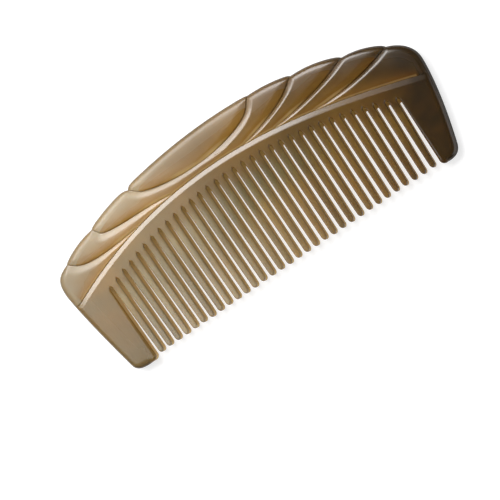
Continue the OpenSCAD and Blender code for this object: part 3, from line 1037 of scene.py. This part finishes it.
def makeRowTree():
    tree = bpy.data.node_groups.new("ToothRow", "GeometryNodeTree")
    tree.interface.new_socket("Geometry", in_out="INPUT", socket_type="NodeSocketGeometry")
    for name, (kind, _) in rowInputs.items():
        tree.interface.new_socket(name, in_out="INPUT", socket_type=kind)
    tree.interface.new_socket("Horn", in_out="INPUT", socket_type="NodeSocketMaterial")
    tree.interface.new_socket("Geometry", in_out="OUTPUT", socket_type="NodeSocketGeometry")
    n = Tree(tree)
    given = n.add("NodeGroupInput").outputs

    first = n.add("ShaderNodeCombineXYZ")
    n.link(given["First Tooth"], first.inputs["X"])
    step = n.add("ShaderNodeCombineXYZ")
    n.link(given["Pitch"], step.inputs["X"])
    line = n.add("GeometryNodeMeshLine", mode="OFFSET")
    n.link(given["Count"], line.inputs["Count"])
    n.link(first.outputs[0], line.inputs["Start Location"])
    n.link(step.outputs[0], line.inputs["Offset"])

    chance = n.add("FunctionNodeRandomValue", data_type="FLOAT_VECTOR")
    chance.inputs["Min"].default_value = (-1, -1, -1)
    chance.inputs["Max"].default_value = (1, 1, 1)
    n.link(given["Seed"], chance.inputs["Seed"])
    drift = n.add("GeometryNodeStoreNamedAttribute", data_type="FLOAT_VECTOR", domain="POINT")
    drift.inputs["Name"].default_value = "drift"
    n.link(line.outputs[0], drift.inputs["Geometry"])
    n.link(chance.outputs["Value"], drift.inputs["Value"])

    source = n.add("GeometryNodeObjectInfo")
    n.link(given["Tooth"], source.inputs["Object"])
    copies = n.add("GeometryNodeInstanceOnPoints")
    n.link(drift.outputs[0], copies.inputs["Points"])
    n.link(source.outputs["Geometry"], copies.inputs["Instance"])
    real = n.add("GeometryNodeRealizeInstances")
    n.link(copies.outputs[0], real.inputs[0])

    place = n.add("ShaderNodeSeparateXYZ")
    n.link(n.add("GeometryNodeInputPosition").outputs[0], place.inputs[0])
    x, y, share = place.outputs
    read = n.add("GeometryNodeInputNamedAttribute", data_type="FLOAT_VECTOR")
    read.inputs["Name"].default_value = "drift"
    wander = n.add("ShaderNodeSeparateXYZ")
    n.link(read.outputs["Attribute"], wander.inputs[0])

    # how much a point belongs to the tip of its tooth
    below = n.math("SUBTRACT", n.math("MULTIPLY", y, -1.0), given["Root Zone"])
    tip = n.math("DIVIDE", below, given["Bend Zone"], clamp=True)
    narrowed = n.math("MULTIPLY", x, n.mix(1.0, given["Tip Spacing"], tip))
    sideways = n.math("MULTIPLY", n.math("MULTIPLY", wander.outputs["X"], given["Drift Sideways"]), tip)
    newX = n.math("ADD", narrowed, sideways)

    along = n.math("DIVIDE", n.math("SUBTRACT", x, given["Crown X"]), given["Length Stretch"])
    square = n.math("SUBTRACT", n.math("POWER", given["Arch Radius"], 2.0), n.math("POWER", along, 2.0))
    arch = n.math("SUBTRACT", n.math("SQRT", square), given["Arch Radius"])
    rootLevel = n.math("ADD", given["Crown Y"], n.math("MULTIPLY", arch, given["Height Stretch"]))
    out = n.math("POWER", n.math("ABSOLUTE", n.math("DIVIDE", newX, given["Half Length"])), 2.0)
    tipLevel = n.math("SUBTRACT", given["Tip Level"], n.math("MULTIPLY", given["Tip Hollow"], out))
    fromTip = n.math("ADD", n.math("ADD", tipLevel, y), given["Tooth Length"])
    bent = n.mix(n.math("ADD", rootLevel, y), fromTip, tip)
    longer = n.math("MULTIPLY", n.math("MULTIPLY", wander.outputs["Y"], given["Drift Lengthways"]), tip)
    newY = n.math("ADD", bent, longer)
    thick = n.math("ADD", given["Middle Thickness"], n.math("MULTIPLY", newY, given["Taper"]))
    newZ = n.math("MULTIPLY", share, thick)

    placed = n.add("ShaderNodeCombineXYZ")
    for socket, value in zip(placed.inputs, (newX, newY, newZ)):
        n.link(value, socket)
    # each tooth also gets a tone of its own, which fades out at its root
    tone = n.add("GeometryNodeStoreNamedAttribute", data_type="FLOAT", domain="POINT")
    tone.inputs["Name"].default_value = "toothTone"
    n.link(real.outputs[0], tone.inputs["Geometry"])
    n.link(n.math("MULTIPLY", wander.outputs["Z"], tip), tone.inputs["Value"])
    mark = n.add("GeometryNodeStoreNamedAttribute", data_type="FLOAT", domain="POINT")
    mark.inputs["Name"].default_value = "toothShare"
    n.link(tone.outputs[0], mark.inputs["Geometry"])
    n.link(tip, mark.inputs["Value"])
    bend = n.add("GeometryNodeSetPosition")
    n.link(mark.outputs[0], bend.inputs["Geometry"])
    n.link(placed.outputs[0], bend.inputs["Position"])

    join = n.add("GeometryNodeJoinGeometry")
    n.link(bend.outputs[0], join.inputs[0])
    n.link(given["Geometry"], join.inputs[0])
    merge = n.add("GeometryNodeMergeByDistance")
    merge.inputs["Distance"].default_value = 2e-6
    n.link(join.outputs[0], merge.inputs["Geometry"])
    whole = n.add("GeometryNodeRealizeInstances")
    n.link(merge.outputs[0], whole.inputs[0])
    dress = n.add("GeometryNodeSetMaterial")
    n.link(whole.outputs[0], dress.inputs["Geometry"])
    n.link(given["Horn"], dress.inputs["Material"])
    n.link(dress.outputs[0], n.add("NodeGroupOutput").inputs[0])
    return tree


# Runs the modifier and keeps its result as the comb's plain mesh
def bakeRow(obj, material):
    tree = makeRowTree()
    modifier = obj.modifiers.new("Teeth", "NODES")
    modifier.node_group = tree
    values = {name: value for name, (_, value) in rowInputs.items()}
    values["Horn"] = material
    for item in tree.interface.items_tree:
        if item.in_out == "INPUT" and item.name in values:
            modifier[item.identifier] = values[item.name]
    toothObject.hide_render = True
    graph = bpy.context.evaluated_depsgraph_get()
    mesh = bpy.data.meshes.new_from_object(obj.evaluated_get(graph))
    obj.modifiers.clear()
    obj.data = mesh
    bpy.data.objects.remove(toothObject)
    body = bmesh.new()
    body.from_mesh(mesh)
    bmesh.ops.recalc_face_normals(body, faces=body.faces)
    print("open edges", sum(len(e.link_faces) != 2 for e in body.edges), "faces", len(body.faces))
    body.to_mesh(mesh)
    body.free()
    mesh.shade_smooth()
    mesh.set_sharp_from_angle(angle=math.radians(32))


# Horn: pale at the left end, dark at the right, with streaks and clouds; a painted sheen in a milky tone, and
# painted amber light and shade near gap edges and creases
horn = {
    "tones": [(0.0, (0.195, 0.123, 0.036)), (0.25, (0.2, 0.128, 0.038)), (0.42, (0.18, 0.106, 0.024)),
              (0.55, (0.15, 0.083, 0.014)), (0.75, (0.115, 0.059, 0.006)), (0.9, (0.046, 0.022, 0.002)),
              (1.0, (0.018, 0.009, 0.001))],
    "teeth": [(0.0, (0.3, 0.225, 0.1)), (0.3, (0.3, 0.226, 0.11)), (0.5, (0.165, 0.12, 0.038)),
              (0.75, (0.125, 0.076, 0.014)), (1.0, (0.12, 0.064, 0.008))],
    "amber": [(0.0, (0.34, 0.168, 0.026)), (0.5, (0.3, 0.152, 0.022)), (0.75, (0.21, 0.1, 0.012)),
              (1.0, (0.1, 0.04, 0.003))],
    "milkAndSheen": [(0.0, (0.39, 0.32, 0.21)), (0.2, (0.35, 0.275, 0.17)), (0.5, (0.29, 0.2, 0.1)),
             (0.75, (0.145, 0.082, 0.03)), (1.0, (0.03, 0.016, 0.004))],
    # wall tones are brighter than the horn around them: painted light that stands in for light coming through
    # the horn
    "walls": [(0.0, (0.42, 0.29, 0.12)), (0.5, (0.36, 0.24, 0.08)), (1.0, (0.26, 0.15, 0.03))],
    "wallGlow": 0.22,        # light that comes through the horn
    "clouds": (28.0, 4.0, 0.55, (0.7, 1.0, 1.0)),    # scale, detail, roughness and stretch of the patterns
    "cloudShift": 0.28,      # how far the clouds move the tones along the comb
    "patches": (55.0, 3.0, 0.5, (0.55, 1.0, 1.0)),
    "streaks": (260.0, 3.0, 0.6, (0.9, 0.06, 0.9)),
    "broad": (20.0, 2.0, 0.45),
    "fine": (1400.0, 2.0, 0.5, (1.0, 0.12, 1.0)),
    "fineBump": (0.06, 0.0002),      # strength and depth
    "toothTone": 0.14,       # how much the teeth differ from each other
    "roughness": 0.21,
    "sheenRoughness": 0.5,
    "coat": 0.35,
    "coatRoughness": 0.1,
    "ior": 1.54,
    "scatter": 0.5,
    "scatterRadius": (0.0024, 0.0016, 0.0008),
}


def ramp(n, stops, value):
    node = n.add("ShaderNodeValToRGB")
    node.color_ramp.interpolation = "EASE"
    elements = node.color_ramp.elements
    while len(elements) < len(stops):
        elements.new(0.5)
    for element, (position, color) in zip(elements, stops):
        element.position = position
        element.color = (*color, 1) if not isinstance(color, float) else (color, color, color, 1)
    n.feed(node.inputs[0], value)
    return node.outputs[0]


def noise(n, coordinates, scale, detail, roughness, stretched=None):
    if stretched:
        mapping = n.add("ShaderNodeMapping")
        mapping.inputs["Scale"].default_value = stretched
        n.link(coordinates, mapping.inputs["Vector"])
        coordinates = mapping.outputs[0]
    node = n.add("ShaderNodeTexNoise")
    node.inputs["Scale"].default_value = scale
    node.inputs["Detail"].default_value = detail
    node.inputs["Roughness"].default_value = roughness
    n.link(coordinates, node.inputs["Vector"])
    return node.outputs["Fac"]


def colorMix(n, blend, a, b, t):
    node = n.add("ShaderNodeMix", data_type="RGBA", blend_type=blend)
    n.feed(node.inputs["Factor"], t)
    n.feed(node.inputs["A"], a)
    n.feed(node.inputs["B"], b)
    return node.outputs["Result"]


def grayOf(n, value):
    node = n.add("ShaderNodeCombineColor")
    for socket in node.inputs:
        n.link(value, socket)
    return node.outputs[0]


def makeHorn():
    material = bpy.data.materials.new("horn")
    material.use_nodes = True
    tree = material.node_tree
    tree.nodes.clear()
    n = Tree(tree)
    coordinates = n.add("ShaderNodeTexCoord").outputs["Object"]
    place = n.add("ShaderNodeSeparateXYZ")
    n.link(coordinates, place.inputs[0])
    clouds = noise(n, coordinates, *horn["clouds"])
    along = n.math("ADD", n.math("DIVIDE", place.outputs["X"], length * mm), 0.5)
    shift = n.math("MULTIPLY", n.math("SUBTRACT", clouds, 0.5), horn["cloudShift"])
    shifted = n.math("ADD", along, shift, clamp=True)
    part = n.add("ShaderNodeAttribute", attribute_name="toothShare")
    isTooth = n.math("MULTIPLY", part.outputs["Fac"], 6.0, clamp=True)
    tone = colorMix(n, "MIX", ramp(n, horn["tones"], shifted), ramp(n, horn["teeth"], shifted), isTooth)
    milkAndSheenTone = ramp(n, horn["milkAndSheen"], shifted)
    # the lower teeth grow paler towards their tips
    tone = colorMix(n, "MIX", tone, milkAndSheenTone, ramp(n, [(0.25, 0.0), (0.95, 0.6)], part.outputs["Fac"]))
    amber = ramp(n, horn["amber"], shifted)

    patches = noise(n, coordinates, *horn["patches"])
    warm = ramp(n, [(0.42, 0.0), (0.68, 1.0)], patches)
    read = n.add("ShaderNodeAttribute", attribute_name="hornTint")
    tint = n.add("ShaderNodeSeparateXYZ")
    n.link(read.outputs["Vector"], tint.inputs[0])
    paintedAmber, paintedSheen, shade = tint.outputs
    # amber in random warm patches of the horn, and painted amber light and shade near gap edges and creases
    amount = n.math("MAXIMUM", n.math("MULTIPLY", warm, 0.35), n.math("MULTIPLY", paintedAmber, 0.95), clamp=True)
    color = colorMix(n, "MIX", tone, amber, amount)
    # the painted sheen, in the milky tone, broken up by the clouds
    softened = n.math("MULTIPLY", paintedSheen, ramp(n, [(0.35, 0.55), (0.65, 1.0)], clouds))
    color = colorMix(n, "MIX", color, milkAndSheenTone, softened)
    # painted shade: the outer rim darkens towards its wall
    rimShade = grayOf(n, n.mix(1.0, 0.03, n.math("POWER", shade, 2.6)))
    color = colorMix(n, "MULTIPLY", color, rimShade, 1.0)

    streaks = noise(n, coordinates, *horn["streaks"])
    streakTone = ramp(n, [(0.3, 0.84), (0.7, 1.1)], streaks)
    color = colorMix(n, "MULTIPLY", color, streakTone, n.mix(0.25, 1.0, isTooth))
    broad = noise(n, coordinates, *horn["broad"])
    color = colorMix(n, "MULTIPLY", color, ramp(n, [(0.36, 0.78), (0.62, 1.1)], broad), 1.0)
    own = n.add("ShaderNodeAttribute", attribute_name="toothTone")
    ownTone = n.math("ADD", n.math("MULTIPLY", own.outputs["Fac"], horn["toothTone"]), 1.0)
    color = colorMix(n, "MULTIPLY", color, grayOf(n, ownTone), 1.0)

    # sawn and filed walls are rough and without gloss; they take a brighter amber tone, painted light that
    # stands in for light through the horn
    wall = ramp(n, [(0.82, 0.0), (0.98, 1.0)], paintedAmber)
    wallLightTone = ramp(n, horn["walls"], along)
    color = colorMix(n, "MIX", color, wallLightTone, wall)
    sawn = n.math("MAXIMUM", wall, ramp(n, [(0.5, 0.0), (0.9, 1.0)], shade))
    fine = noise(n, coordinates, *horn["fine"])
    bump = n.add("ShaderNodeBump")
    bump.inputs["Strength"].default_value = horn["fineBump"][0]
    bump.inputs["Distance"].default_value = horn["fineBump"][1]
    n.link(fine, bump.inputs["Height"])

    shader = n.add("ShaderNodeBsdfPrincipled")
    n.link(color, shader.inputs["Base Color"])
    n.link(bump.outputs[0], shader.inputs["Normal"])
    dull = n.math("MULTIPLY", paintedSheen, ramp(n, [(0.0, 1.0), (0.5, 1.0), (0.85, 0.25)], along))
    satin = n.mix(horn["roughness"], horn["sheenRoughness"], dull)
    n.link(n.mix(satin, 0.9, sawn), shader.inputs["Roughness"])
    # painted glow: the walls also emit their tone, standing in for light coming through the horn
    n.link(colorMix(n, "MIX", (0, 0, 0, 1), wallLightTone, wall), shader.inputs["Emission Color"])
    shader.inputs["Emission Strength"].default_value = horn["wallGlow"]
    shader.inputs["IOR"].default_value = horn["ior"]
    coat = n.mix(horn["coat"], 0.0, dull)
    n.link(n.mix(coat, 0.0, sawn), shader.inputs["Coat Weight"])
    shader.inputs["Coat Roughness"].default_value = horn["coatRoughness"]
    shader.inputs["Subsurface Weight"].default_value = horn["scatter"]
    shader.inputs["Subsurface Radius"].default_value = horn["scatterRadius"]
    shader.inputs["Subsurface Scale"].default_value = 1.0
    n.link(shader.outputs[0], n.add("ShaderNodeOutputMaterial").inputs["Surface"])
    return material


hornMaterial = makeHorn()
bakeRow(bladeObject, hornMaterial)
bladeObject.name = "comb_body"
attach(bladeObject, "root")
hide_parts("comb")
print("comb made,", len(bladeObject.data.polygons), "faces")


# Floor and light
studio = {
    "floorSize": 3.0,
    "floorColor": (0.4, 0.4, 0.4),
    "floorGlow": 0.7,
    "world": 0.08,
    "lights": {
        "key_light": {"place": (-400, 10, 690), "aim": (0, 0, 0), "size": (330, 500), "power": 0.9},
        "strip_light": {"place": (-200, 535, 631), "aim": (0, 10, 0), "size": (800, 480), "power": 11.0},
        "soft_light": {"place": (-117, 251, 804), "aim": (0, 10, 0), "size": (400, 210), "power": 0.4},
        "fill_light": {"place": (625, -524, 380), "aim": (0, 0, 0), "size": (1000, 600), "power": 2.0},
    },
}


def makeFloor():
    mesh = bpy.data.meshes.new("studio_floor")
    h = studio["floorSize"] / 2
    mesh.from_pydata([(-h, -h, 0), (h, -h, 0), (h, h, 0), (-h, h, 0)], [], [(0, 1, 2, 3)])
    floor = bpy.data.objects.new("studio_floor", mesh)
    bpy.context.scene.collection.objects.link(floor)
    material = bpy.data.materials.new("studio_white")
    material.use_nodes = True
    shader = material.node_tree.nodes["Principled BSDF"]
    shader.inputs["Base Color"].default_value = (*studio["floorColor"], 1)
    shader.inputs["Roughness"].default_value = 0.9
    shader.inputs["Emission Color"].default_value = (1, 1, 1, 1)
    shader.inputs["Emission Strength"].default_value = studio["floorGlow"]
    mesh.materials.append(material)


def makeLight(name, form):
    data = bpy.data.lights.new(name, "AREA")
    data.shape = "RECTANGLE"
    data.size, data.size_y = form["size"][0] * mm, form["size"][1] * mm
    data.energy = form["power"]
    light = bpy.data.objects.new(name, data)
    place, aim = Vector(form["place"]) * mm, Vector(form["aim"]) * mm
    light.location = place
    light.rotation_euler = (aim - place).to_track_quat("-Z", "Y").to_euler()
    bpy.context.scene.collection.objects.link(light)


makeFloor()
for name, form in studio["lights"].items():
    makeLight(name, form)
world = bpy.data.worlds.new("studio")
world.use_nodes = True
world.node_tree.nodes["Background"].inputs["Color"].default_value = (1, 1, 1, 1)
world.node_tree.nodes["Background"].inputs["Strength"].default_value = studio["world"]
bpy.context.scene.world = world
bpy.context.scene.view_settings.view_transform = "Standard"
print("studio made")


# Camera, fitted to the outline in the photo
view = {
    "distance": 650.0,
    "middle": (-12.2, -17.01),
    "roll": 33.77,
    "lens": 126.4,
    "sensor": 36.0,
    "lean": -3.06,
    "tilt": 12.0,
}


def makeCamera():
    roll, lean, tilt = (math.radians(view[k]) for k in ("roll", "lean", "tilt"))
    turnY = np.array([[math.cos(tilt), 0, math.sin(tilt)], [0, 1, 0], [-math.sin(tilt), 0, math.cos(tilt)]])
    turnX = np.array([[1, 0, 0], [0, math.cos(lean), math.sin(lean)], [0, -math.sin(lean), math.cos(lean)]])
    turn = turnY @ turnX
    right = turn @ np.array([math.cos(roll), -math.sin(roll), 0])
    up = turn @ np.array([math.sin(roll), math.cos(roll), 0])
    back = turn @ np.array([0, 0, 1.0])
    data = bpy.data.cameras.new("photo_camera")
    data.lens = view["lens"]
    data.sensor_width = view["sensor"]
    data.clip_start = 0.01
    camera = bpy.data.objects.new("photo_camera", data)
    matrix = np.eye(4)
    matrix[:3, 0], matrix[:3, 1], matrix[:3, 2] = right, up, back
    matrix[:3, 3] = (np.array([*view["middle"], 0.0]) + view["distance"] * back) * mm
    camera.matrix_world = Matrix(matrix.tolist())
    bpy.context.scene.collection.objects.link(camera)
    bpy.context.scene.camera = camera


makeCamera()
print("camera made")
